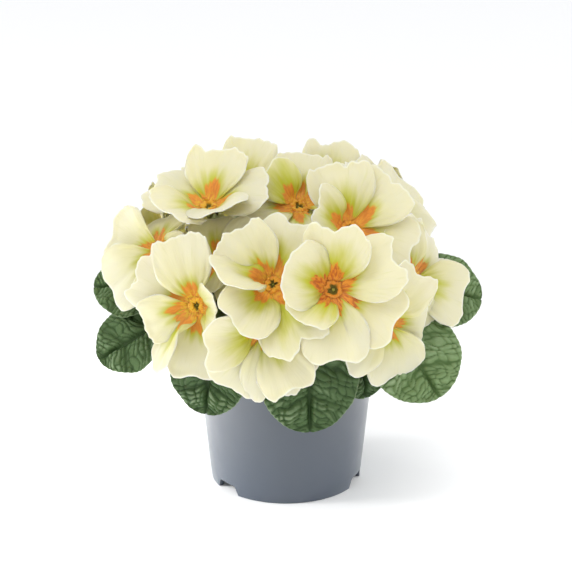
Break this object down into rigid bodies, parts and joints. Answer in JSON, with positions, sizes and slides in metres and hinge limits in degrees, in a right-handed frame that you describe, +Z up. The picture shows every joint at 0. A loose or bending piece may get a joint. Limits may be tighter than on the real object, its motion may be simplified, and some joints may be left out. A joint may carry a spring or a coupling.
{
  "type": "potted primrose",
  "caption": "Flowering primrose in a small nursery pot: a dome of pale yellow five-petalled blooms with orange eyes above a rosette of quilted green leaves.",
  "frame": {"origin": "bottom centre of the plant's bounding box, on the surface that the pot stands on; the pot's axis is 1.1 mm to its left and 5.1 mm behind it", "axes": "+Z up along the pot's axis, -Y towards the front, +X to the right as seen from the front"},
  "size_m": [0.1598, 0.1528, 0.1422],
  "materials": {
    "pot": "satin blue-grey thermoformed plastic",
    "soil": "dark crumbly potting soil",
    "leaf": "matte quilted green leaf",
    "stalk": "downy pale green stalk and calyx",
    "petal": "velvety ivory petals with an orange and yellow eye"
  },
  "bodies": {
    "root": {"pot": "pot", "soil": "soil", "leaf_01": "leaf", "leaf_02": "leaf", "leaf_03": "leaf", "leaf_04": "leaf", "leaf_05": "leaf", "leaf_06": "leaf", "leaf_07": "leaf", "leaf_08": "leaf", "leaf_09": "leaf", "leaf_10": "leaf", "leaf_11": "leaf", "leaf_12": "leaf", "stalk_01": "stalk", "stalk_02": "stalk", "stalk_03": "stalk", "stalk_04": "stalk", "stalk_05": "stalk", "stalk_06": "stalk", "stalk_07": "stalk", "stalk_08": "stalk", "stalk_09": "stalk", "stalk_10": "stalk", "stalk_11": "stalk", "stalk_12": "stalk", "stalk_13": "stalk", "stalk_14": "stalk", "stalk_15": "stalk", "stalk_16": "stalk", "stalk_17": "stalk", "stalk_18": "stalk", "stalk_19": "stalk", "stalk_20": "stalk", "stalk_21": "stalk", "bloom_01": "petal", "bloom_02": "petal", "bloom_03": "petal", "bloom_04": "petal", "bloom_05": "petal", "bloom_06": "petal", "bloom_07": "petal", "bloom_08": "petal", "bloom_09": "petal", "bloom_10": "petal", "bloom_11": "petal", "bloom_12": "petal", "bloom_13": "petal", "bloom_14": "petal", "bloom_15": "petal", "bloom_16": "petal", "bloom_17": "petal", "bloom_18": "petal", "bloom_19": "petal", "bloom_20": "petal", "bloom_21": "petal"}
  },
  "joints": []
}
